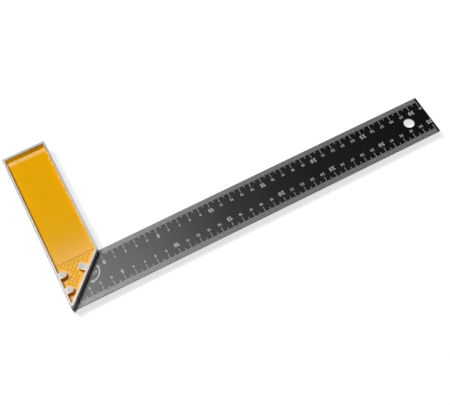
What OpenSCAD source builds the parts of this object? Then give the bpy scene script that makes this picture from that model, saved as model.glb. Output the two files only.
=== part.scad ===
// Carpenter's square: a steel blade let into a slotted die-cast handle and held by three flush rivets.
// The blade and the handle meet at a 90 degree inside corner, and the handle's end is cut as a mitre.

/* [Blade] */
// Last reading of the outer scale, measured from the heel
scale_length = 350; // [200:10:500]
// Plain end of the blade beyond the last reading
scale_margin = 2.5; // [1:0.5:8]
// Width of the blade
blade_width = 40; // [32:1:50]
// Thickness of the blade
blade_thickness = 1.2; // [0.8:0.1:2]
// Break on the blade's corners, along each side
blade_corner = 0.5; // [0.3:0.1:2]
// Break ground along the blade's edges
blade_edge = 0.15; // [0.05:0.05:0.25]

/* [Hang hole] */
// Diameter of the hang hole
hang_hole = 9.5; // [5:0.5:14]
// From the blade's free end to the middle of the hang hole
hang_hole_inset = 19.5; // [10:0.5:40]

/* [Handle] */
// Length of the handle, from the blade's outer edge to the handle's top end
handle_length = 159; // [110:1:220]
// Width of the handle
handle_width = 40; // [32:1:50]
// Thickness of the handle
handle_thickness = 13; // [11:0.5:20]
// How far below the blade's inner edge the mitre starts
mitre_drop = 1; // [0:0.1:3]
// How far up from the blade's outer edge the heel is cut off flat
heel_flat = 1.3; // [1.2:0.1:4]
// Break on the handle's upright corners, along each side
handle_corner = 0.5; // [0.2:0.1:0.9]
// Break machined along the handle's edges
handle_edge = 0.35; // [0.1:0.05:0.6]

/* [Panels] */
// Depth of the sunk panel in each face of the handle
panel_depth = 3.3; // [1:0.1:4]
// Rim along the handle's two long sides
rim_side = 1.8; // [1.2:0.1:3]
// Rim at the handle's top end
rim_top = 2.4; // [1:0.1:4]
// Rim along the mitre
rim_mitre = 2.2; // [1.2:0.1:3]
// Break in the panel's upright corners, along each side
panel_corner = 0.8; // [0.3:0.1:2]
// Break at the foot of the panel's walls
panel_foot = 0.4; // [0.2:0.1:0.8]
// Draft of the panel's walls, in degrees
panel_draft = 3; // [1:0.5:6]
// How far the slope under the top rim reaches into the panel
top_slope = 2.5; // [1:0.1:5]
// Upright lip between that slope and the top rim
top_lip = 0.5; // [0.2:0.1:0.9]
// Length of the apron that climbs to the foot of that slope
apron_length = 3.9; // [2:0.1:12]
// Rise of the apron
apron_rise = 0.4; // [0.1:0.05:0.9]
// Extra depth of the panel over the blade's tang
tang_step = 0.4; // [0.1:0.1:0.6]
// How far the deeper part reaches past the blade's inner edge
tang_cover = 2; // [1:0.1:6]

/* [Rivets] */
// Diameter of a rivet's shank
rivet_shank = 3; // [2:0.1:4]
// Diameter of a rivet's countersunk heads
rivet_head = 4.4; // [4.2:0.1:5]
// Width of the bosses that stand round the rivets
boss_width = 5.7; // [5.4:0.1:8]
// From the handle's outer side to the two outer rivets
outer_rivet_inset = 5.5; // [4.5:0.1:8]
// From the mitre's foot up to the rivet at the heel
heel_rivet_rise = 16; // [15:0.5:20]
// From the blade's inner edge down to the upper of the two outer rivets
upper_rivet_drop = 9; // [4:0.5:11]
// From the mitre to the rivet beside it
mitre_rivet_inset = 7.1; // [5.5:0.1:8]
// From the top of the mitre, down along it, to the rivet beside it
mitre_rivet_drop = 18.7; // [16:0.1:22]

/* [Fits] */
// Gap on each side of the blade in its slot
slot_clearance = 0.05; // [0.02:0.01:0.15]
// Gap round a rivet in its holes
rivet_clearance = 0.03; // [0.01:0.01:0.1]

/* [Hidden] */
$fn = 64;

mitre_angle = 45;
// A length that passes every face of the object
reach = scale_length + handle_length;
// How far a cutting shape stands past the face that it opens
proud = 1;

blade_length = scale_length + scale_margin;
slot_height = blade_thickness + 2 * slot_clearance;

// A side is the direction that it faces and its distance from the heel in that direction.
// The sides of an outline go round it anticlockwise.
inner_side = [0, handle_width];
top_side = [90, handle_length];
outer_side = [180, 0];
mitre_facing = 360 - mitre_angle;
mitre_top = [handle_width, blade_width - mitre_drop];
mitre_side = [mitre_facing, mitre_top * heading(mitre_facing)];
// Where the mitre meets the outer side, or the blade's outer edge if that is higher
mitre_foot = max(0, corner(outer_side, mitre_side).y);
heel_side = [270, -mitre_foot - heel_flat];
handle_sides = [inner_side, top_side, outer_side, heel_side, mitre_side];
blade_sides = [[0, blade_length], [90, blade_width], [180, 0], [270, 0]];

// The panel's sides lie in from the handle's by the rims
panel_sides = [
    inset(inner_side, rim_side),
    inset(top_side, rim_top),
    inset(outer_side, rim_side),
    inset(mitre_side, rim_mitre)
];
tang_depth = panel_depth + tang_step;
tang_line = blade_width + tang_cover;

heel_rivet_at = [outer_rivet_inset, mitre_foot + heel_rivet_rise];
upper_rivet_at = [outer_rivet_inset, blade_width - upper_rivet_drop];
mitre_rivet_at = mitre_top
    - mitre_rivet_inset * heading(mitre_facing)
    - mitre_rivet_drop * heading(mitre_angle);
// Each rivet's place, and the direction in which its boss joins the rim
rivets = [[heel_rivet_at, 180], [upper_rivet_at, 180], [mitre_rivet_at, mitre_facing]];

function heading(angle) = [cos(angle), sin(angle)];

// The same side moved inwards
function inset(side, by) = [side[0], side[1] - by];

// Where two sides cross
function corner(a, b) = [
    a[1] * sin(b[0]) - b[1] * sin(a[0]),
    b[1] * cos(a[0]) - a[1] * cos(b[0])
] / sin(b[0] - a[0]);

// The same outline, with a side added across each of its corners
function blunted(sides, along_each) = [
    for (i = [0 : len(sides) - 1])
        let (
            next = sides[(i + 1) % len(sides)],
            half_turn = (next[0] - sides[i][0] + 360) % 360 / 2,
            faces = sides[i][0] + half_turn,
            cut = along_each * sin(half_turn)
        )
        each [sides[i], [faces, corner(sides[i], next) * heading(faces) - cut]]
];

// What lies within a section that is run along every side of an outline.
// The section's x is out from the side, and its y is up.
module within(sides)
    intersection_for (side = sides)
        rotate(side[0])
            translate([side[1], 0, 0])
                rotate([90, 0, 0])
                    linear_extrude(2 * reach, center = true)
                        children();

// A plate with a break on every corner and along every edge
module eased_plate(sides, thickness, corner_break, edge) {
    half = thickness / 2;
    within(blunted(sides, corner_break))
        polygon([
            [-reach, -half], [-edge, -half], [0, edge - half],
            [0, half - edge], [-edge, half], [-reach, half]
        ]);
}

// The open space of a panel, down to one depth below the rim, with drafted walls and a break at their foot
module panel_space(depth) {
    lean = tan(panel_draft);
    foot = depth - panel_foot;
    within(blunted(panel_sides, panel_corner))
        polygon([
            [-reach, -depth], [-depth * lean - panel_foot, -depth], [-foot * lean, -foot],
            [proud * lean, proud], [-reach, proud]
        ]);
}

// Everything on one side of the line across the handle where the panel's depth changes
module past_tang_line(upwards)
    translate([-reach, tang_line - (upwards ? 0 : reach), -handle_thickness])
        cube([2 * reach, reach, 3 * handle_thickness]);

// A round-ended boss that runs from a rivet to the rim
module boss(place, direction)
    translate(place)
        rotate(direction)
            linear_extrude(handle_thickness, center = true) {
                circle(d = boss_width);
                translate([0, -boss_width / 2])
                    square([handle_width / 2, boss_width]);
            }

// The wedge that lifts the panel's floor, first as a low apron and then as the slope under the top rim
module apron() {
    slope_foot = apron_rise - panel_depth;
    climb = (-top_lip - slope_foot) / top_slope;
    translate([-reach, handle_length - rim_top, 0])
        rotate([90, 0, 90])
            linear_extrude(2 * reach)
                polygon([
                    [-top_slope - apron_length, -panel_depth],
                    [-top_slope - apron_length, -handle_thickness],
                    [rim_top, -handle_thickness], [rim_top, climb * rim_top - top_lip],
                    [-top_slope, slope_foot]
                ]);
}

// What is cast away from one face of the handle, with the rim at z = 0
module panel()
    difference() {
        union() {
            intersection() {
                panel_space(panel_depth);
                past_tang_line(true);
            }
            intersection() {
                panel_space(tang_depth);
                past_tang_line(false);
            }
        }
        apron();
        for (rivet = rivets)
            boss(rivet[0], rivet[1]);
    }

// A rivet with a countersunk head flush with each face of the handle, or its hole with a gap all round
module rivet_form(gap = 0, past = 0) {
    shank = rivet_shank / 2 + gap;
    head = rivet_head / 2 + gap;
    face = handle_thickness / 2;
    neck = face - (head - shank);
    rotate_extrude()
        polygon([
            [0, -face - past], [head, -face - past], [head, -face], [shank, -neck],
            [shank, neck], [head, face], [head, face + past], [0, face + past]
        ]);
}

// Moves a shape from the heel, at mid-thickness, to an origin under the middle of the square
module from_heel()
    translate([-blade_length / 2, -handle_length / 2, handle_thickness / 2])
        children();

module handle()
    color("goldenrod")
        from_heel()
            difference() {
                eased_plate(handle_sides, handle_thickness, handle_corner, handle_edge);
                translate([-reach, -reach, -slot_height / 2])
                    cube([2 * reach, reach + blade_width + slot_clearance, slot_height]);
                for (flip = [0, 1])
                    mirror([0, 0, flip])
                        translate([0, 0, handle_thickness / 2])
                            panel();
                for (rivet = rivets)
                    translate(rivet[0])
                        rivet_form(rivet_clearance, proud);
            }

module blade()
    color("dimgray")
        from_heel()
            difference() {
                eased_plate(blade_sides, blade_thickness, blade_corner, blade_edge);
                translate([blade_length - hang_hole_inset, blade_width / 2])
                    cylinder(d = hang_hole, h = 2 * blade_thickness, center = true);
                for (rivet = rivets)
                    translate(rivet[0])
                        cylinder(
                            d = rivet_shank + 2 * rivet_clearance,
                            h = 2 * blade_thickness,
                            center = true
                        );
            }

module rivet(place)
    color("silver")
        from_heel()
            translate(place)
                rivet_form();

handle();
blade();
rivet(heel_rivet_at);  // heel_rivet
rivet(upper_rivet_at);  // upper_rivet
rivet(mitre_rivet_at);  // mitre_rivet
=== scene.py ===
"""Looks of a carpenter square: enamelled panels, a lacquered blade with its scales, and a stage.

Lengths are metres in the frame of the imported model. Plans are drawn from the heel, the blade's
outer corner under the handle, with x along the blade and y along the handle, and are then moved
into place.
"""

import bpy
import numpy as np
from bpy.props import FloatProperty, FloatVectorProperty, PointerProperty
from mathutils import Matrix, Vector


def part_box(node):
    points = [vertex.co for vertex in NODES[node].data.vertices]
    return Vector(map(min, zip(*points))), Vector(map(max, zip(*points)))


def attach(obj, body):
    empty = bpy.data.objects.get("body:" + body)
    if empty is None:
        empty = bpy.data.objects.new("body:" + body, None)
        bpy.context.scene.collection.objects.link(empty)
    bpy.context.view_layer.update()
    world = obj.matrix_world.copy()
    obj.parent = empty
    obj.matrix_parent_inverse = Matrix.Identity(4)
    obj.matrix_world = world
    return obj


bl_info = {
    "name": "Carpenter square",
    "version": (1, 0, 0),
    "blender": (4, 5, 0),
    "location": "3D View > Sidebar > Square",
    "description": "Dresses the solids of a carpenter square with coats, scales and metal finishes",
    "category": "Object",
}

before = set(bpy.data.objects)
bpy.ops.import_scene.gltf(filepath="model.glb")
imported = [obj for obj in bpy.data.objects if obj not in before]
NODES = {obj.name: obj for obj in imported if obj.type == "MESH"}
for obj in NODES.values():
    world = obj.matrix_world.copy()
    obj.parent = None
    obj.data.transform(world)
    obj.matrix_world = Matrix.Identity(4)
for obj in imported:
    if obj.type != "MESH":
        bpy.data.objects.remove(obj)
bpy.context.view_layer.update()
BODY = "root"
MM = 0.001
CENTIMETRE = 10 * MM

BLADE_LOW, BLADE_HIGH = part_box("blade")
HANDLE_LOW, HANDLE_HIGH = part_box("handle")
HEEL = np.array([BLADE_LOW.x, BLADE_LOW.y])
MID_Z = (HANDLE_LOW.z + HANDLE_HIGH.z) / 2
RIM_RISE = HANDLE_HIGH.z - MID_Z
BLADE_RISE = BLADE_HIGH.z - MID_Z
BLADE_LENGTH = BLADE_HIGH.x - BLADE_LOW.x
BLADE_WIDTH = BLADE_HIGH.y - BLADE_LOW.y
HANDLE_WIDTH = HANDLE_HIGH.x - HANDLE_LOW.x
HANDLE_TOP = HANDLE_HIGH.y - BLADE_LOW.y

# The direction that the mitre faces, and that in which the boss round each rivet joins the rim
MITRE_FACING = 1.75 * np.pi
RIVETS = {"upper_rivet": np.pi, "heel_rivet": np.pi, "mitre_rivet": MITRE_FACING}


def length(name, description, millimetres):
    """A length property whose default is given in millimetres."""
    return FloatProperty(
        name=name,
        description=description,
        default=millimetres * MM,
        min=0.0,
        unit="LENGTH",
        precision=5,
    )


def colour(name, description, red, green, blue):
    """A colour property in linear light."""
    return FloatVectorProperty(
        name=name,
        description=description,
        default=(red, green, blue),
        min=0.0,
        max=1.0,
        subtype="COLOR",
    )


def power(name, description, watts):
    """A lamp's power."""
    return FloatProperty(name=name, description=description, default=watts, min=0.0, unit="POWER")


class HandleSizes(bpy.types.PropertyGroup):
    """The handle's sunk panel and the coat in it."""

    rim_side: length("Side rim", "Rim along the handle's two long sides", 1.8)
    mitre_drop: length("Mitre drop", "How far below the blade's inner edge the mitre starts", 1.0)
    rim_top: length("Top rim", "Rim at the handle's top end", 2.4)
    rim_mitre: length("Mitre rim", "Rim along the mitre", 2.2)
    panel_depth: length("Panel depth", "Depth of the panel's floor below the rim", 3.3)
    tang_step: length("Tang step", "Extra depth of the floor over the blade's tang", 0.4)
    tang_line: length("Tang line", "From the blade's outer edge up to the step in the floor", 42.0)
    top_slope: length("Top slope", "Reach of the slope under the top rim into the panel", 2.5)
    top_lip: length("Top lip", "Upright lip between that slope and the rim", 0.5)
    apron_length: length("Apron", "Length of the apron that climbs to the foot of that slope", 3.9)
    apron_rise: length("Apron rise", "Rise of the apron", 0.4)
    boss_width: length("Boss width", "Width of the bosses round the rivets", 5.7)
    coat: length("Enamel coat", "Thickness of the enamel", 0.08)
    coat_edge: length("Coat edge", "Where the enamel ends, below the rim", 0.07)
    foot_radius: length("Foot radius", "Radius of the enamel's pool at the foot of the walls", 0.5)
    lip_radius: length("Lip radius", "Radius of the enamel at the foot of the top lip", 0.25)
    corner_radius: length("Corner radius", "Radius of the enamel in the square corners", 1.6)
    inside_flat: length("Inside flat", "Enamel's flat in the inside corner, on each side", 0.85)
    tip_radius: length("Tip radius", "Radius of the enamel in the panel's tip", 0.55)
    diamond_pitch: length("Diamond pitch", "Between rows of raised diamonds over the tang", 2.95)
    diamond_groove: length("Diamond groove", "Width of the grooves between the diamonds", 0.7)
    diamond_rise: length("Diamond rise", "Height of the diamonds above the floor", 0.32)


class BladeSizes(bpy.types.PropertyGroup):
    """The blade's print and its scales."""

    margin: length("Margin", "Bare steel left along the edges of the blade", 0.25)
    plain_end: length("Plain end", "End of the blade beyond the last reading", 2.5)
    hang_hole: length("Hang hole", "Diameter of the hang hole", 9.5)
    hang_hole_inset: length("Hang hole inset", "From the free end to the hang hole's middle", 19.5)
    lacquer: length("Lacquer", "Thickness of the lacquer", 0.02)
    mark: length("Mark", "Height of the marks above the lacquer", 0.01)
    tick_width: length("Tick width", "Width of a tick", 0.42)
    long_tick: length("Centimetre tick", "From the blade's edge to a centimetre tick's end", 9.2)
    middle_tick: length("Half tick", "From the blade's edge to a half-centimetre tick's end", 6.7)
    short_tick: length("Millimetre tick", "From the blade's edge to a millimetre tick's end", 4.6)
    small_numeral: length("Small numerals", "Height of the plain numerals", 2.5)
    large_numeral: length("Large numerals", "Height of the numerals at every fifth centimetre", 3.9)
    numeral_gap: length("Numeral gap", "Between a centimetre tick and its numeral", 1.4)
    angle_radius: length("Angle mark", "Radius of the angle mark's arc", 9.3)
    angle_line: length("Angle line", "Width of the angle mark's line", 1.1)


class Colours(bpy.types.PropertyGroup):
    """Colours of the finishes, in linear light."""

    enamel: colour("Enamel", "Warm yellow enamel in the handle's panels", 0.79, 0.39, 0.0015)
    casting: colour("Casting", "Milled aluminium of the handle", 0.254, 0.241, 0.218)
    steel: colour("Blade", "Dull grey steel of the blade", 0.125, 0.125, 0.13)
    lacquer: colour("Lacquer", "Black lacquer on the blade", 0.0025, 0.0025, 0.0028)
    marks: colour("Marks", "Pale marks of the scales", 0.39, 0.39, 0.41)
    rivets: colour("Rivets", "Bright steel of the rivets", 0.215, 0.203, 0.194)


class StageSettings(bpy.types.PropertyGroup):
    """The studio round the square."""

    key: power("Key", "Power of the softbox behind the handle", 79.0)
    top: power("Top", "Power of the softbox overhead", 2.0)
    screen: power("Screen", "Power of the screen whose gloss lies on the heel", 7.2)
    fill: power("Fill", "Power of the low card on the right", 7.0)
    lens: FloatProperty(
        name="Lens",
        description="Focal length on a 36 mm sensor, in millimetres",
        default=71.36,
        min=1.0,
    )


# Shader wiring

# The Mix node's sockets for colours, which share their names with its sockets for values
MIX_SHARE, MIX_FIRST, MIX_SECOND, MIX_RESULT = 0, 6, 7, 2


class Wire:
    """A value in a material. Operators on it add Math nodes."""

    def __init__(self, finish, socket):
        self.finish = finish
        self.socket = socket

    def math(self, operation, *values):
        """A Math node on wires and numbers."""
        settings = {"operation": operation}
        return self.finish.node("ShaderNodeMath", settings, dict(enumerate(values)))

    def __add__(self, other):
        return self.math("ADD", self, other)

    def __sub__(self, other):
        return self.math("SUBTRACT", self, other)

    def __rsub__(self, other):
        return self.math("SUBTRACT", other, self)

    def __mul__(self, other):
        return self.math("MULTIPLY", self, other)

    __radd__ = __add__
    __rmul__ = __mul__


class Finish:
    """A node tree with one way to add a node to it."""

    def __init__(self, tree):
        self.tree = tree
        tree.nodes.clear()

    def node(self, kind, settings=None, inputs=None, output=0):
        """Adds a node: its settings, then its sockets' values or wires. Returns one output."""
        node = self.tree.nodes.new(kind)
        for key, value in (settings or {}).items():
            setattr(node, key, value)
        for key, value in (inputs or {}).items():
            socket = node.inputs[key]
            if isinstance(value, Wire):
                self.tree.links.new(value.socket, socket)
            else:
                socket.default_value = value
        return Wire(self, node.outputs[output]) if len(node.outputs) else None

    def noise(self, scale, detail, stretch=(1.0, 1.0, 1.0)):
        """Noise on Object coordinates, drawn out along an axis where stretch is below 1."""
        place = self.node("ShaderNodeTexCoord", output="Object")
        drawn = self.node("ShaderNodeMapping", None, {"Vector": place, "Scale": stretch})
        inputs = {"Vector": drawn, "Scale": scale, "Detail": detail, "Roughness": 0.55}
        return self.node("ShaderNodeTexNoise", None, inputs)

    def ease(self, value, begin, end, low=0.0, high=1.0):
        """A smooth step from low to high while a value goes from begin to end."""
        return self.node(
            "ShaderNodeMapRange",
            {"interpolation_type": "SMOOTHSTEP"},
            {"Value": value, "From Min": begin, "From Max": end, "To Min": low, "To Max": high},
        )

    def blend(self, share, first, second):
        """A colour from first to second."""
        return self.node(
            "ShaderNodeMix",
            {"data_type": "RGBA", "clamp_factor": True},
            {MIX_SHARE: share, MIX_FIRST: (*first, 1.0), MIX_SECOND: (*second, 1.0)},
            output=MIX_RESULT,
        )

    def shades(self, share, tint, low, high):
        """A tint from low to high times itself."""
        dark, light = (tuple(channel * factor for channel in tint) for factor in (low, high))
        return self.blend(share, dark, light)

    def bump(self, height, strength, distance):
        """A normal that follows a height, whose full range stands for a distance."""
        inputs = {"Strength": strength, "Distance": distance, "Height": height}
        return self.node("ShaderNodeBump", None, inputs)


def new_finish(name):
    """A new material, and the Finish that fills its nodes."""
    material = bpy.data.materials.new(name)
    material.use_nodes = True
    return material, Finish(material.node_tree)


def finish_material(name, paint, tint):
    """A new material whose surface is the Principled sockets that paint gives for a tint."""
    material, finish = new_finish(name)
    surface = finish.node("ShaderNodeBsdfPrincipled", None, paint(finish, tuple(tint)))
    finish.node("ShaderNodeOutputMaterial", None, {"Surface": surface})
    return material


def enamel_paint(finish, tint):
    """Sprayed enamel: orange peel, a little drift in depth of colour, and a satin gloss."""
    drift = finish.noise(scale=38.0, detail=3.0)
    peel = finish.noise(scale=1500.0, detail=2.0)
    return {
        "Base Color": finish.shades(drift, tint, low=0.94, high=1.06),
        "Roughness": 0.08 + 0.05 * drift,
        "Specular IOR Level": 0.2,
        "Normal": finish.bump(peel, strength=0.10, distance=0.02 * MM),
    }


def milled_paint(finish, tint):
    """Milled casting: cutter marks along the handle, with dull patches between them."""
    marks = finish.noise(scale=900.0, detail=3.0, stretch=(1.0, 0.06, 1.0))
    patches = finish.noise(scale=120.0, detail=4.0)
    return {
        "Base Color": finish.shades(patches, tint, low=0.86, high=1.1),
        "Metallic": 0.7,
        "Roughness": 0.33 + 0.08 * marks + 0.06 * (1.0 - patches),
        "Normal": finish.bump(marks, strength=0.16, distance=0.03 * MM),
    }


def steel_paint(finish, tint):
    """Rolled strip under a clear coat: fine lines along the blade."""
    lines = finish.noise(scale=1400.0, detail=3.0, stretch=(0.02, 1.0, 1.0))
    patches = finish.noise(scale=45.0, detail=3.0)
    return {
        "Base Color": finish.shades(lines, tint, low=0.88, high=1.12),
        "Roughness": 0.25 + 0.07 * patches,
        "Normal": finish.bump(lines, strength=0.06, distance=0.02 * MM),
    }


def lacquer_paint(finish, tint):
    """Screen-printed black: almost even, with a faint tooth in its gloss."""
    tooth = finish.noise(scale=900.0, detail=2.0)
    drift = finish.noise(scale=30.0, detail=3.0)
    return {
        "Base Color": finish.shades(drift, tint, low=0.85, high=1.2),
        "Roughness": 0.25 + 0.07 * drift,
        "Normal": finish.bump(tooth, strength=0.05, distance=0.01 * MM),
    }


def mark_paint(finish, tint):
    """Pale printed marks: slightly uneven, with the gloss of the lacquer round them."""
    grain = finish.noise(scale=2200.0, detail=2.0)
    return {
        "Base Color": finish.shades(grain, tint, low=0.9, high=1.1),
        "Roughness": 0.25 + 0.07 * grain,
    }


def rivet_paint(finish, tint):
    """Rivet heads ground flush with the rim: short scratches on bright metal."""
    scratches = finish.noise(scale=1800.0, detail=3.0, stretch=(1.0, 0.12, 1.0))
    return {
        "Base Color": finish.shades(scratches, tint, low=0.9, high=1.0),
        "Metallic": 1.0,
        "Roughness": 0.38 + 0.16 * scratches,
        "Normal": finish.bump(scratches, strength=0.10, distance=0.02 * MM),
    }


# Shapes


def heading(angle):
    """Unit vectors at angles in radians."""
    return np.stack([np.cos(angle), np.sin(angle)], axis=-1)


def crossing(a, b):
    """Where two sides cross.

    A side is the angle that it faces and its distance from the heel that way.
    """
    return np.linalg.solve(np.stack([heading(a[0]), heading(b[0])]), np.array([a[1], b[1]]))


def corner_arc(a, b, radius, count):
    """Arc that joins side a to side b: a circle that touches both, from a's facing angle to b's."""
    centre = crossing((a[0], a[1] - radius), (b[0], b[1] - radius))
    turn = (b[0] - a[0]) % (2 * np.pi)
    return centre + radius * heading(a[0] + np.linspace(0.0, turn, count))


def corner_flat(a, b, along):
    """The two ends of a flat across the corner of side a and side b, equally far along each."""
    at = crossing(a, b)
    before, after = heading(a[0] + np.pi / 2), heading(b[0] + np.pi / 2)
    return np.stack([at - along * before, at + along * after])


def boss_bite(side, centre, half, count):
    """The wall's way round a boss: in along one flank, half a circle, and out along the other."""
    out, on = heading(side[0]), heading(side[0] + np.pi / 2)
    to_wall = (side[1] - centre @ out) * out
    sweep = np.linspace(0.0, np.pi, count)[:, None]
    end = centre - half * (np.cos(sweep) * on + np.sin(sweep) * out)
    return np.vstack([end[0] + to_wall, end, end[-1] + to_wall])


def inward(path):
    """Mitred inward normals of a closed anticlockwise path.

    A point's normal is the sum of its two sides' normals over 1 plus their dot product, so that a
    step along it moves every side alike.
    """
    run = np.roll(path, -1, axis=0) - path
    run /= np.linalg.norm(run, axis=1, keepdims=True)
    left = np.stack([-run[:, 1], run[:, 0]], axis=1)
    before = np.roll(left, 1, axis=0)
    return (left + before) / (1.0 + np.sum(left * before, axis=1, keepdims=True))


def in_place(plan, height):
    """Points of a plan from the heel, at heights above mid-thickness, in the model's frame."""
    return np.column_stack([plan + HEEL, height + MID_Z])


def turned_over(shape):
    """The same shape on the other face: mirrored through mid-thickness, with its faces reversed."""
    points, faces = shape
    mirrored = points * [1.0, 1.0, -1.0] + [0.0, 0.0, 2 * MID_Z]
    return mirrored, [each[:, ::-1] for each in faces]


def joined(shapes):
    """Several shapes as one. A shape is its points and arrays of faces, one row a face."""
    starts = np.cumsum([0] + [len(points) for points, _ in shapes])
    faces = [each + start for start, (_, arrays) in zip(starts, shapes) for each in arrays]
    return np.vstack([points for points, _ in shapes]), faces


def welded(shape, decimals=8):
    """The same shape with points that are equal to so many decimals made one."""
    points, faces = shape
    kept, where = np.unique(np.round(points, decimals), axis=0, return_inverse=True)
    return kept, [where.ravel()[each] for each in faces]


def ring_quads(around, across):
    """Quads of a grid that closes on itself around and is open across."""
    at = np.arange(around * across).reshape(around, across)
    on = np.roll(at, -1, axis=0)
    return np.stack([at[:, :-1], on[:, :-1], on[:, 1:], at[:, 1:]], axis=-1).reshape(-1, 4)


def prism_faces(number, sides):
    """Tops, floors and walls of prisms in a row, each with its lower points before its upper."""
    foot = np.arange(sides)
    on = np.roll(foot, -1)
    starts = 2 * sides * np.arange(number)[:, None]
    walls = np.stack([foot, on, on + sides, foot + sides], axis=-1)
    walls = (walls + starts[:, :, None]).reshape(-1, 4)
    return [foot + sides + starts, foot[::-1] + starts, walls]


def prism(outlines, low, high, taper=1.0):
    """Upright prisms on closed outlines with the same number of points, from one height to another.

    The upper outline is the lower one drawn in to its middle by the taper.
    """
    number, sides, _ = outlines.shape
    middle = outlines.mean(axis=1, keepdims=True)
    plan = np.stack([outlines, middle + taper * (outlines - middle)], axis=1).reshape(-1, 2)
    height = np.tile(np.repeat([low, high], sides), number)
    return in_place(plan, height), prism_faces(number, sides)


def make_piece(name, shape, material, smooth=None, flat=0):
    """A piece of the square: an object at the origin that rides with it and has a slot's finish.

    Where smooth is an angle, faces that meet at less than it are shaded as one, apart from the last
    faces, as many as flat says.
    """
    points, faces = shape
    sides = np.concatenate([np.full(len(each), each.shape[1]) for each in faces])
    corners = np.concatenate([each.ravel() for each in faces])
    mesh = bpy.data.meshes.new(name)
    mesh.vertices.add(len(points))
    mesh.vertices.foreach_set("co", points.ravel())
    mesh.loops.add(len(corners))
    mesh.loops.foreach_set("vertex_index", corners)
    mesh.polygons.add(len(sides))
    mesh.polygons.foreach_set("loop_start", np.cumsum(sides) - sides)
    mesh.update(calc_edges=True)
    if mesh.validate():
        raise RuntimeError(f"{name} had faces that are not valid")
    mesh.materials.append(material)
    if smooth is None:
        mesh.shade_flat()
    else:
        mesh.set_sharp_from_angle(angle=smooth)
        mesh.polygons.foreach_set("use_smooth", np.arange(len(sides)) < len(sides) - flat)
    piece = bpy.data.objects.new(name, mesh)
    bpy.context.scene.collection.objects.link(piece)
    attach(piece, BODY)
    return piece


# Share of a coat's thickness that its sheet gets behind its face
BODY_SHARE = 0.8


def give_body(piece, coat):
    """Closes a sheet by giving it a thickness behind its face."""
    solid = piece.modifiers.new("Thickness", "SOLIDIFY")
    solid.thickness = BODY_SHARE * coat
    solid.offset = -1.0
    solid.use_even_offset = False


def repaint(node, material):
    """Puts one material in a CAD node's slots."""
    for slot in NODES[node].material_slots:
        slot.material = material


def rivet_places():
    """The rivets' places from the heel, in the order of RIVETS."""
    boxes = [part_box(name) for name in RIVETS]
    return [np.array((low + high) / 2)[:2] - HEEL for low, high in boxes]


def panel_sides(sizes):
    """The panel's sides, in from the handle's by the rims: inner, top, outer and mitre."""
    mitre_top = np.array([HANDLE_WIDTH, BLADE_WIDTH - sizes.mitre_drop])
    return (
        (0.0, HANDLE_WIDTH - sizes.rim_side),
        (np.pi / 2, HANDLE_TOP - sizes.rim_top),
        (np.pi, -sizes.rim_side),
        (MITRE_FACING, mitre_top @ heading(MITRE_FACING) - sizes.rim_mitre),
    )


# Draft of the panel's walls, and how far the step in its floor leans for its height
PANEL_DRAFT = np.radians(3.0)
STEP_LEAN = 0.3
# Share of the room in the panel's tip that the radius at its foot takes
TIP_SHARE = 0.8
# Points on the arcs of the enamel's path, and on the quarter circle of its profile
CORNER_POINTS, BOSS_POINTS, TIP_POINTS, FOOT_POINTS = 7, 17, 9, 7
# Faces of the enamel's floor, which come last and stay flat
FLOOR_FACES = 5
# The angle below which the enamel's other faces are shaded as one
SMOOTH_ANGLE = np.radians(32.0)


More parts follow.
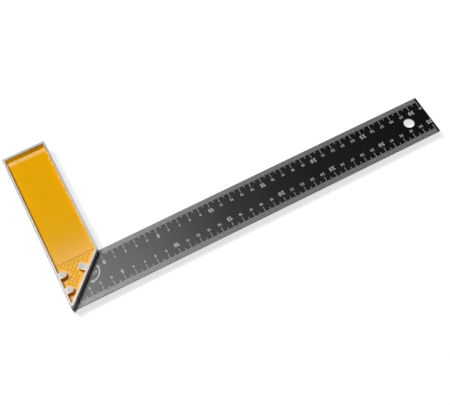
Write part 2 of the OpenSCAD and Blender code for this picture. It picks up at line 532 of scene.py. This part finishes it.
def enamel_sheet(sizes):
    """The enamel in one panel: a profile carried along the foot of the rim.

    The path runs anticlockwise round the panel and in round each boss. The profile goes down the
    drafted wall, one coat thickness inside it, and turns on a quarter circle into the floor. Each
    path point has its own floor height: deeper below the tang line, rising on the apron and again
    on the slope under the top rim. Flat faces fill the floor.
    """
    inner, top, outer, mitre = panel_sides(sizes)
    upper_boss, heel_boss, mitre_boss = rivet_places()
    half = sizes.boss_width / 2
    right, left = inner[1], -outer[1]
    slope_start = top[1] - sizes.top_slope
    apron_start = slope_start - sizes.apron_length
    step_foot = sizes.tang_line - STEP_LEAN * sizes.tang_step

    parts = {
        "right_step": [[right, sizes.tang_line]],
        "right_apron": [[right, apron_start]],
        "right_slope": [[right, slope_start]],
        "top_right": corner_arc(inner, top, sizes.corner_radius, CORNER_POINTS),
        "top_left": corner_arc(top, outer, sizes.corner_radius, CORNER_POINTS),
        "left_slope": [[left, slope_start]],
        "left_apron": [[left, apron_start]],
        "left_step": [[left, sizes.tang_line]],
        "left_foot": [[left, step_foot]],
        "upper_boss": boss_bite(outer, upper_boss, half, BOSS_POINTS),
        "heel_boss": boss_bite(outer, heel_boss, half, BOSS_POINTS),
        "tip": corner_arc(outer, mitre, sizes.tip_radius, TIP_POINTS),
        "mitre_boss": boss_bite(mitre, mitre_boss, half, BOSS_POINTS),
        "inside": corner_flat(mitre, inner, sizes.inside_flat),
        "right_foot": [[right, step_foot]],
    }
    path = np.vstack(list(parts.values()))
    counts = [len(part) for part in parts.values()]
    first = dict(zip(parts, np.cumsum(counts) - counts))
    normal = inward(path)

    tip = slice(first["tip"], first["mitre_boss"])
    lip = slice(first["top_right"], first["left_slope"])
    lean = np.tan(PANEL_DRAFT)
    draft = np.full(len(path), lean * sizes.panel_depth)
    draft[lip] = lean * sizes.top_lip
    foot = np.full(len(path), sizes.foot_radius)
    foot[lip] = sizes.lip_radius
    foot[tip] = TIP_SHARE * (sizes.tip_radius - sizes.coat - draft[tip])
    up_panel = (path + normal * (sizes.coat + draft + foot)[:, None])[:, 1]
    floor = np.full(len(path), sizes.coat - sizes.panel_depth)
    floor[first["left_foot"]:] -= sizes.tang_step
    floor += sizes.apron_rise * np.clip((up_panel - apron_start) / sizes.apron_length, 0.0, 1.0)
    slope_rise = sizes.panel_depth - sizes.apron_rise - sizes.top_lip
    floor += slope_rise * np.clip((up_panel - slope_start) / sizes.top_slope, 0.0, 1.0)

    turn = np.linspace(0.0, np.pi / 2, FOOT_POINTS)
    edge = np.full(len(path), -sizes.coat_edge)
    inset = np.column_stack([
        0 * edge,
        0 * edge + sizes.coat,
        (sizes.coat + draft)[:, None] + np.outer(foot, 1.0 - np.cos(turn)),
    ])
    height = np.column_stack([
        edge,
        edge - sizes.coat,
        floor[:, None] + np.outer(foot, 1.0 - np.sin(turn)),
    ])
    plan = path[:, None] + normal[:, None] * inset[:, :, None]
    points = in_place(plan.reshape(-1, 2), RIM_RISE + height.ravel())

    across = inset.shape[1]
    floor_rim = np.arange(len(path)) * across + across - 1

    def span(*names):
        """A face on the floor's rim, with a corner at each named part."""
        return floor_rim[[first[name] for name in names]]

    floors = [
        span("right_step", "right_apron", "left_apron", "left_step"),
        span("right_apron", "right_slope", "left_slope", "left_apron"),
        floor_rim[first["right_slope"]:first["left_slope"] + 1],
        floor_rim[first["left_foot"]:],
        span("right_foot", "right_step", "left_step", "left_foot"),
    ]
    return points, [ring_quads(len(path), across), *(each[None] for each in floors)]


# Places of the diamonds' lattice each way, and the least gap from a diamond to the enamel's foot
LATTICE = 40
DIAMOND_CLEARANCE = 0.35 * MM
# Width of a diamond's top over that of its foot, and how far it is sunk in the coat, in coats
DIAMOND_TAPER = 0.12
DIAMOND_SUNK = 0.3


def diamond_field(sizes):
    """Raised diamonds on the floor over the tang: low pyramids on a lattice turned by 45 degrees.

    Lattice place (i, j) lies at (i - j, i + j) times the pitch over the root of 2. A diamond is
    kept where all its corners lie on the flat floor, inside the rims and clear of the bosses.
    """
    step = sizes.diamond_pitch / np.sqrt(2.0)
    i, j = np.meshgrid(np.arange(LATTICE), np.arange(LATTICE) - LATTICE // 2, indexing="ij")
    middles = step * np.stack([i - j, i + j], axis=-1).reshape(-1, 1, 2)
    half_diagonal = step - sizes.diamond_groove / np.sqrt(2.0)
    outlines = middles + half_diagonal * heading(np.arange(4) * np.pi / 2)

    clear = sizes.coat + sizes.foot_radius + DIAMOND_CLEARANCE
    on_floor = outlines[..., 1] < sizes.tang_line - sizes.tang_step
    for facing, reach in panel_sides(sizes):
        on_floor &= outlines @ heading(facing) < reach - clear
    for place, facing in zip(rivet_places(), RIVETS.values()):
        away = outlines - place
        along = np.clip(away @ heading(facing), 0.0, None)
        off_boss = np.linalg.norm(away - along[..., None] * heading(facing), axis=-1)
        on_floor &= off_boss > sizes.boss_width / 2 + clear
    kept = outlines[on_floor.all(axis=1)]
    floor = RIM_RISE - sizes.panel_depth - sizes.tang_step + sizes.coat
    low, high = floor - DIAMOND_SUNK * sizes.coat, floor + sizes.diamond_rise
    return prism(kept, low, high, DIAMOND_TAPER)


def print_face(sizes):
    """Height of the lacquer's face above mid-thickness."""
    return BLADE_RISE + sizes.lacquer


def printed(outlines, sizes):
    """Marks on closed outlines, half sunk in the lacquer's face."""
    return prism(outlines, print_face(sizes) - sizes.mark, print_face(sizes) + sizes.mark)


# Bare steel round the hang hole, and at the blade's free end, in margins
HOLE_MARGIN = 0.1 * MM
END_MARGINS = 1.5
# How far the print reaches under the handle
PRINT_TUCK = 0.5 * MM
# Points on each half of the hang hole, and rows of points across each half of the blade
HOLE_POINTS, PRINT_ROWS = 33, 6


def lacquer_sheet(sizes, mitre_drop):
    """The black print on one face of the blade: y between two edges, as a function of x.

    The sheet is two grids, one below and one above the blade's middle. Both meet there, except
    across the hang hole, where each stops at its circle. It starts along the mitre, just under the
    handle.
    """
    middle = BLADE_WIDTH / 2
    hole_x = BLADE_LENGTH - sizes.hang_hole_inset
    radius = sizes.hang_hole / 2 + HOLE_MARGIN
    swing = np.linspace(np.pi, 0.0, HOLE_POINTS)
    x = np.concatenate([
        [0.0, BLADE_WIDTH + CENTIMETRE],
        hole_x + radius * np.cos(swing),
        [BLADE_LENGTH - END_MARGINS * sizes.margin],
    ])
    gap = np.zeros(len(x))
    gap[2:-1] = radius * np.sin(swing)
    rows = np.linspace(0.0, 1.0, PRINT_ROWS)
    lower = sizes.margin + rows * (middle - gap - sizes.margin)[:, None]
    halves = []
    for y, turn in ((lower, 1), (BLADE_WIDTH - lower, -1)):
        along = np.repeat(x[:, None], len(rows), axis=1)
        along[0] = y[0] + mitre_drop - PRINT_TUCK
        at = np.arange(y.size).reshape(y.shape)
        quads = np.stack([at[:-1, :-1], at[1:, :-1], at[1:, 1:], at[:-1, 1:]], axis=-1)
        plan = np.stack([along, y], axis=-1).reshape(-1, 2)
        points = in_place(plan, np.full(y.size, print_face(sizes)))
        halves.append((points, [quads.reshape(-1, 4)[:, ::turn]]))
    return welded(joined(halves))


# Where each scale starts, its first tick in millimetres, and whether it lies on the outer edge
SCALES = ((0.0, 2, True), (HANDLE_WIDTH, 0, False))


def scale_ticks(sizes):
    """Ticks at each millimetre of both scales: upright boxes that run in from the blade's edges.

    Those at half and whole centimetres are longer. The outer scale starts where it comes out from
    under the handle.
    """
    last = BLADE_LENGTH - sizes.plain_end
    half = sizes.tick_width / 2
    lengths = np.full(10, sizes.short_tick)
    lengths[[0, 5]] = sizes.long_tick, sizes.middle_tick
    outlines = []
    for start, first, from_outer in SCALES:
        reading = np.arange(first, int(round((last - start) / MM)) + 1)
        x = start + reading * MM
        foot, head = np.full(len(x), sizes.margin), lengths[reading % 10]
        low, high = (foot, head) if from_outer else (BLADE_WIDTH - head, BLADE_WIDTH - foot)
        box = [x - half, low], [x + half, low], [x + half, high], [x - half, high]
        outlines.append(np.stack([np.stack(corner, axis=-1) for corner in box], axis=1))
    return printed(np.vstack(outlines), sizes)


# How far the font's outlines are thickened, and points on each of their curves
GLYPH_BOLD = 0.04
GLYPH_CURVE = 3
# Gap between two figures of a number, over their height
FIGURE_GAP = 0.12


def glyph(character):
    """One character of the built-in font as a solid of depth 1: its points and its triangles."""
    curve = bpy.data.curves.new("glyph", "FONT")
    curve.body = character
    curve.extrude = 0.5
    curve.offset = GLYPH_BOLD
    curve.resolution_u = GLYPH_CURVE
    holder = bpy.data.objects.new("glyph", curve)
    bpy.context.scene.collection.objects.link(holder)
    bpy.context.view_layer.update()
    solid = holder.evaluated_get(bpy.context.evaluated_depsgraph_get())
    mesh = bpy.data.meshes.new_from_object(solid)
    points = np.empty(3 * len(mesh.vertices))
    mesh.vertices.foreach_get("co", points)
    triangles = np.empty(3 * len(mesh.loop_triangles), dtype=np.int64)
    mesh.loop_triangles.foreach_get("vertices", triangles)
    bpy.data.objects.remove(holder)
    bpy.data.curves.remove(curve)
    bpy.data.meshes.remove(mesh)
    return welded((points.reshape(-1, 3), [triangles.reshape(-1, 3)]))


def raised(plan, spans, loops):
    """A solid of depth 1, like a glyph, from a plan.

    Its spans are the top and, turned over, the floor, and a wall runs along each loop.
    """
    count = len(plan)
    points = np.column_stack([np.tile(plan, (2, 1)), np.repeat([0.5, -0.5], count)])
    floors = [span[:, ::-1] + count for span in spans]
    walls = []
    for loop in loops:
        on = np.roll(loop, -1)
        walls.append(np.stack([loop + count, on + count, on, loop], axis=-1))
    return points, [*spans, *floors, *walls]


def flagged_one():
    """The figure 1: a stem with a slanting flag, because the font's own is a plain bar."""
    plan = np.array([
        [0.40, -0.04], [0.40, 0.722], [0.27, 0.722], [0.06, 0.60], [0.06, 0.44], [0.222, 0.53],
        [0.222, -0.04],
    ])
    rim = np.arange(len(plan))
    return raised(plan, [rim[None]], [rim])


def closed_four():
    """The figure 4: six spans round its counter, because the font's own folds when thickened."""
    rim = [
        [0.29, -0.04], [0.45, -0.04], [0.45, 0.13], [0.54, 0.13], [0.54, 0.27], [0.45, 0.27],
        [0.45, 0.722], [0.27, 0.722], [-0.03, 0.28], [-0.03, 0.13], [0.29, 0.13],
    ]
    counter = [[0.29, 0.27], [0.13, 0.27], [0.29, 0.51]]
    quads = np.array([[0, 1, 2, 10], [10, 2, 5, 11], [2, 3, 4, 5], [12, 13, 7, 8]])
    pentagons = np.array([[9, 10, 11, 12, 8], [11, 5, 6, 7, 13]])
    loops = np.split(np.arange(len(rim) + len(counter)), [len(rim)])
    return raised(np.array(rim + counter), [quads, pentagons], loops)


def figures(characters):
    """Each character's shape, from the font where its own will do."""
    drawn = {"1": flagged_one, "4": closed_four}
    return {each: drawn[each]() if each in drawn else glyph(each) for each in characters}


def numeral(glyphs, text, height):
    """A number in a row: its glyphs side by side, centred, with its foot on y = 0."""
    tall = np.ptp(glyphs["0"][0][:, 1])
    gap, at, parts = FIGURE_GAP * tall, 0.0, []
    for character in text:
        points, faces = glyphs[character]
        low, high = points[:, 0].min(), points[:, 0].max()
        parts.append((points + [at - low, 0.0, 0.0], faces))
        at += high - low + gap
    points, faces = joined(parts)
    points = points - [(at - gap) / 2, 0.0, 0.0]
    return points * [height / tall, height / tall, 1.0], faces


def laid(shape, place, sizes, face):
    """A number laid on the print of one face, its head towards the blade's outer edge."""
    points, faces = shape
    plan = place + points[:, :2] * [-face, -1.0]
    height = face * (print_face(sizes) + points[:, 2] * 2 * sizes.mark)
    return in_place(plan, height), faces


# Room that a label's middle keeps from the free end, over its height, and from the handle
END_ROOM = 0.83
HANDLE_ROOM = 1.0 * MM


def scale_labels(sizes):
    """Each label's text, the middle of its foot and its height, those of the outer scale first.

    Labels of the outer scale that would lie under the handle are left out.
    """
    last = BLADE_LENGTH - sizes.plain_end
    clear = sizes.long_tick + sizes.numeral_gap
    labels = []
    for start, _, from_outer in SCALES:
        for reading in range(int(round((last - start) / CENTIMETRE)) + 1):
            tall = sizes.small_numeral if reading % 5 else sizes.large_numeral
            x = min(start + reading * CENTIMETRE, BLADE_LENGTH - END_ROOM * tall)
            y = clear + tall if from_outer else BLADE_WIDTH - clear
            if x > y + HANDLE_ROOM or not from_outer:
                labels.append((str(reading), np.array([x, y]), tall))
    return labels


def scale_numerals(sizes):
    """The numbers of both scales on both faces."""
    glyphs = figures("0123456789")
    shapes = [
        laid(numeral(glyphs, text, tall), place, sizes, face)
        for face in (1, -1)
        for text, place, tall in scale_labels(sizes)
    ]
    return joined(shapes)


# The angle mark: middle and ends of its arc, length and half width of its heads, points on its arc,
# and the place and height of its figures
ARROW_MIDDLE = np.array([24.7, 25.6]) * MM
ARROW_ENDS = np.radians([-107.0, 23.0])
ARROW_HEAD, ARROW_BARB = 3.4 * MM, 1.5 * MM
ARROW_POINTS = 25
ANGLE_PLACE = np.array([29.0, 24.3]) * MM
ANGLE_HEIGHT = 2.6 * MM


def angle_arrow(sizes):
    """A double-headed arc as one outline.

    It goes along the outer radius, round a barbed head, back along the inner radius, and round the
    other head.
    """
    begin, end = ARROW_ENDS
    turn = ARROW_HEAD / sizes.angle_radius
    sweep = np.linspace(begin + turn, end - turn, ARROW_POINTS)
    line = np.full(ARROW_POINTS, sizes.angle_line / 2)
    head = np.array([ARROW_BARB, 0.0, -ARROW_BARB])
    radius = sizes.angle_radius + np.concatenate([line, head, -line, -head])
    end_turns, begin_turns = [end - turn, end, end - turn], [begin + turn, begin, begin + turn]
    angle = np.concatenate([sweep, end_turns, sweep[::-1], begin_turns])
    outline = ARROW_MIDDLE + radius[:, None] * heading(angle)
    return printed(outline[None], sizes)


def angle_marks(sizes):
    """The arc and its angle on both faces."""
    figure = numeral(figures("045°"), "45°", ANGLE_HEIGHT)
    arrow = angle_arrow(sizes)
    return joined([
        arrow,
        turned_over(arrow),
        laid(figure, ANGLE_PLACE, sizes, 1),
        laid(figure, ANGLE_PLACE, sizes, -1),
    ])


# Operators


class SQUARE_OT_handle(bpy.types.Operator):
    """Gives the cast handle its milled finish"""

    bl_idname = "square.handle"
    bl_label = "Handle casting"

    def execute(self, context):
        tint = context.scene.square_colours.casting
        repaint("handle", finish_material("milled casting", milled_paint, tint))
        return {"FINISHED"}


class SQUARE_OT_enamel(bpy.types.Operator):
    """Lays the enamel in the panels on both faces of the handle"""

    bl_idname = "square.enamel"
    bl_label = "Handle enamel"

    def execute(self, context):
        sizes = context.scene.square_handle
        tint = context.scene.square_colours.enamel
        material = finish_material("yellow enamel", enamel_paint, tint)
        sheet = enamel_sheet(sizes)
        for name, shape in (("enamel_front", sheet), ("enamel_back", turned_over(sheet))):
            piece = make_piece(name, shape, material, SMOOTH_ANGLE, FLOOR_FACES)
            give_body(piece, sizes.coat)
        diamonds = diamond_field(sizes)
        make_piece("diamonds_front", diamonds, material)
        make_piece("diamonds_back", turned_over(diamonds), material)
        return {"FINISHED"}


class SQUARE_OT_blade(bpy.types.Operator):
    """Gives the blade its dull rolled steel"""

    bl_idname = "square.blade"
    bl_label = "Blade steel"

    def execute(self, context):
        tint = context.scene.square_colours.steel
        repaint("blade", finish_material("rolled steel", steel_paint, tint))
        return {"FINISHED"}


class SQUARE_OT_lacquer(bpy.types.Operator):
    """Prints the black lacquer on both faces of the blade"""

    bl_idname = "square.lacquer"
    bl_label = "Blade lacquer"

    def execute(self, context):
        sizes = context.scene.square_blade
        tint = context.scene.square_colours.lacquer
        material = finish_material("black lacquer", lacquer_paint, tint)
        sheet = lacquer_sheet(sizes, context.scene.square_handle.mitre_drop)
        for name, shape in (("lacquer_front", sheet), ("lacquer_back", turned_over(sheet))):
            piece = make_piece(name, shape, material)
            give_body(piece, sizes.lacquer)
        return {"FINISHED"}


class SQUARE_OT_scales(bpy.types.Operator):
    """Marks the ticks, the numbers and the angle on both faces of the blade"""

    bl_idname = "square.scales"
    bl_label = "Scales"

    def execute(self, context):
        sizes = context.scene.square_blade
        material = finish_material("pale marks", mark_paint, context.scene.square_colours.marks)
        ticks = scale_ticks(sizes)
        make_piece("scale_ticks", joined([ticks, turned_over(ticks)]), material)
        make_piece("scale_numerals", scale_numerals(sizes), material)
        make_piece("angle_marks", angle_marks(sizes), material)
        return {"FINISHED"}


class SQUARE_OT_rivets(bpy.types.Operator):
    """Gives the rivets their ground heads"""

    bl_idname = "square.rivets"
    bl_label = "Rivets"

    def execute(self, context):
        tint = context.scene.square_colours.rivets
        material = finish_material("ground rivet", rivet_paint, tint)
        for node in RIVETS:
            repaint(node, material)
        return {"FINISHED"}


# Half the floor's width, and its grey to light that bounces and under the glow
FLOOR_REACH = 3.0
PAPER_GREY, SHADOW_GREY = 0.8, 0.35
# The floor's glow near the square and far from it, and where it starts and stops to change
GLOW_NEAR, GLOW_FAR = 0.72, 1.0
GLOW_BEGIN, GLOW_END = 0.3, 0.9
# Light of the room's walls, and the rise of a view at which they darken to the ceiling
WALL_LIGHT = 0.6
CEILING_BEGIN, CEILING_END = 0.2, 0.6
# Each softbox's place, the point that it faces and its sizes, from the heel
LAMPS = {
    "key": ((-0.95, 1.38, 2.43), (0.0, 0.0, 0.0), (1.00, 1.00)),
    "screen": ((0.02, 0.845, 2.00), (0.02, 0.846, 0.0), (0.64, 0.49)),
    "top": ((0.15, 0.05, 1.60), (0.15, 0.06, 0.0), (1.20, 0.60)),
    "fill": ((1.20, -0.35, 0.075), (0.02, 0.02, 0.0), (0.90, 0.13)),
}
# The camera's place from the heel at the blade's face, and its directions to the right and back
CAMERA_PLACE = Vector((20.5, -301.1, 673.1)) * MM
CAMERA_RIGHT = Vector((0.886, -0.461, -0.050))
CAMERA_BACK = Vector((-0.175, -0.433, 0.884))
SENSOR_WIDTH = 36.0


def grey(level):
    """A grey with its alpha."""
    return level, level, level, 1.0


def add_floor():
    """A white floor under the handle.

    The camera and reflections see it glow white, with the square's shadow on it. Light that bounces
    sees plain paper.
    """
    reach = FLOOR_REACH
    corners = [(-reach, -reach, 0), (reach, -reach, 0), (reach, reach, 0), (-reach, reach, 0)]
    mesh = bpy.data.meshes.new("floor")
    mesh.from_pydata(corners, [], [(0, 1, 2, 3)])
    floor = bpy.data.objects.new("floor", mesh)
    bpy.context.scene.collection.objects.link(floor)
    material, finish = new_finish("white floor")
    camera, glossy, through = (
        finish.node("ShaderNodeLightPath", output=name)
        for name in ("Is Camera Ray", "Is Glossy Ray", "Is Transmission Ray")
    )
    paper = finish.node("ShaderNodeBsdfDiffuse", None, {"Color": grey(PAPER_GREY)})
    shadowed = finish.node("ShaderNodeBsdfDiffuse", None, {"Color": grey(SHADOW_GREY)})
    place = finish.node("ShaderNodeTexCoord", output="Object")
    away = finish.node("ShaderNodeVectorMath", {"operation": "LENGTH"}, {0: place}, output="Value")
    far = finish.ease(away, GLOW_BEGIN, GLOW_END)
    glow_colour = finish.blend(far, (GLOW_NEAR,) * 3, (GLOW_FAR,) * 3)
    glow = finish.node("ShaderNodeEmission", None, {"Color": glow_colour})
    white = finish.node("ShaderNodeAddShader", None, {0: shadowed, 1: glow})
    seen = camera + glossy + through
    surface = finish.node("ShaderNodeMixShader", None, {0: seen, 1: paper, 2: white})
    finish.node("ShaderNodeOutputMaterial", None, {"Surface": surface})
    mesh.materials.append(material)


def add_panel_light(name, place, target, size, watts):
    """A rectangular softbox at a place, both from the heel, that faces a target."""
    light = bpy.data.lights.new(name, "AREA")
    light.shape = "RECTANGLE"
    light.size, light.size_y = size
    light.energy = watts
    lamp = bpy.data.objects.new(name, light)
    heel = Vector((*HEEL, MID_Z))
    lamp.location = heel + Vector(place)
    facing = Vector(target) - Vector(place)
    lamp.rotation_euler = facing.to_track_quat("-Z", "Y").to_euler()
    bpy.context.scene.collection.objects.link(lamp)


def light_room(scene):
    """Pale walls under a dark ceiling, for gloss and metal to reflect. The camera sees white."""
    scene.world = bpy.data.worlds.new("room")
    scene.world.use_nodes = True
    finish = Finish(scene.world.node_tree)
    toward = finish.node("ShaderNodeTexCoord", output="Generated")
    level = finish.node("ShaderNodeSeparateXYZ", None, {"Vector": toward}, output="Z")
    walls = finish.ease(level, CEILING_BEGIN, CEILING_END, low=WALL_LIGHT, high=0.0)
    camera, glossy = (
        finish.node("ShaderNodeLightPath", output=name)
        for name in ("Is Camera Ray", "Is Glossy Ray")
    )
    light = finish.blend(camera + glossy * walls, (0.0,) * 3, (1.0,) * 3)
    background = finish.node("ShaderNodeBackground", None, {"Color": light})
    finish.node("ShaderNodeOutputWorld", None, {"Surface": background})


def add_camera(lens):
    """The photograph's view, by the camera's axes and its place."""
    camera = bpy.data.cameras.new("camera")
    camera.sensor_width = SENSOR_WIDTH
    camera.lens = lens
    camera.clip_start, camera.clip_end = 0.01, 20.0
    holder = bpy.data.objects.new("camera", camera)
    back = CAMERA_BACK.normalized()
    up = back.cross(CAMERA_RIGHT.normalized()).normalized()
    right = up.cross(back)
    place = Vector((*HEEL, MID_Z + BLADE_RISE)) + CAMERA_PLACE
    turn = Matrix((right, up, back)).transposed().to_4x4()
    holder.matrix_world = Matrix.Translation(place) @ turn
    bpy.context.scene.collection.objects.link(holder)
    bpy.context.scene.camera = holder


class SQUARE_OT_stage(bpy.types.Operator):
    """Sets the floor, the lights and the camera round the square"""

    bl_idname = "square.stage"
    bl_label = "Stage"

    def execute(self, context):
        settings = context.scene.square_stage
        context.scene.view_settings.view_transform = "Standard"
        add_floor()
        for name, (place, target, size) in LAMPS.items():
            add_panel_light(name, place, target, size, getattr(settings, name))
        light_room(context.scene)
        add_camera(settings.lens)
        return {"FINISHED"}


STEPS = ("handle", "enamel", "blade", "lacquer", "scales", "rivets", "stage")
GROUPS = {
    "square_handle": HandleSizes,
    "square_blade": BladeSizes,
    "square_colours": Colours,
    "square_stage": StageSettings,
}


class SQUARE_PT_sidebar(bpy.types.Panel):
    """Sizes, colours and steps of the square"""

    bl_idname = "SQUARE_PT_sidebar"
    bl_label = "Carpenter square"
    bl_space_type = "VIEW_3D"
    bl_region_type = "UI"
    bl_category = "Square"

    def draw(self, context):
        layout = self.layout
        for name in GROUPS:
            group = getattr(context.scene, name)
            box = layout.box()
            for field in group.bl_rna.properties.keys():
                if field not in ("rna_type", "name"):
                    box.prop(group, field)
        for step in STEPS:
            layout.operator(f"square.{step}")


CLASSES = (
    *GROUPS.values(),
    SQUARE_OT_handle,
    SQUARE_OT_enamel,
    SQUARE_OT_blade,
    SQUARE_OT_lacquer,
    SQUARE_OT_scales,
    SQUARE_OT_rivets,
    SQUARE_OT_stage,
    SQUARE_PT_sidebar,
)


def register():
    """Adds the classes, and each group of settings to the scene."""
    for cls in CLASSES:
        bpy.utils.register_class(cls)
    for name, group in GROUPS.items():
        setattr(bpy.types.Scene, name, PointerProperty(type=group))


def unregister():
    """Takes away what register adds."""
    for name in GROUPS:
        delattr(bpy.types.Scene, name)
    for cls in reversed(CLASSES):
        bpy.utils.unregister_class(cls)


def main():
    """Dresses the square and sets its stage."""
    register()
    for step in STEPS:
        getattr(bpy.ops.square, step)()


if __name__ == "__main__":
    main()
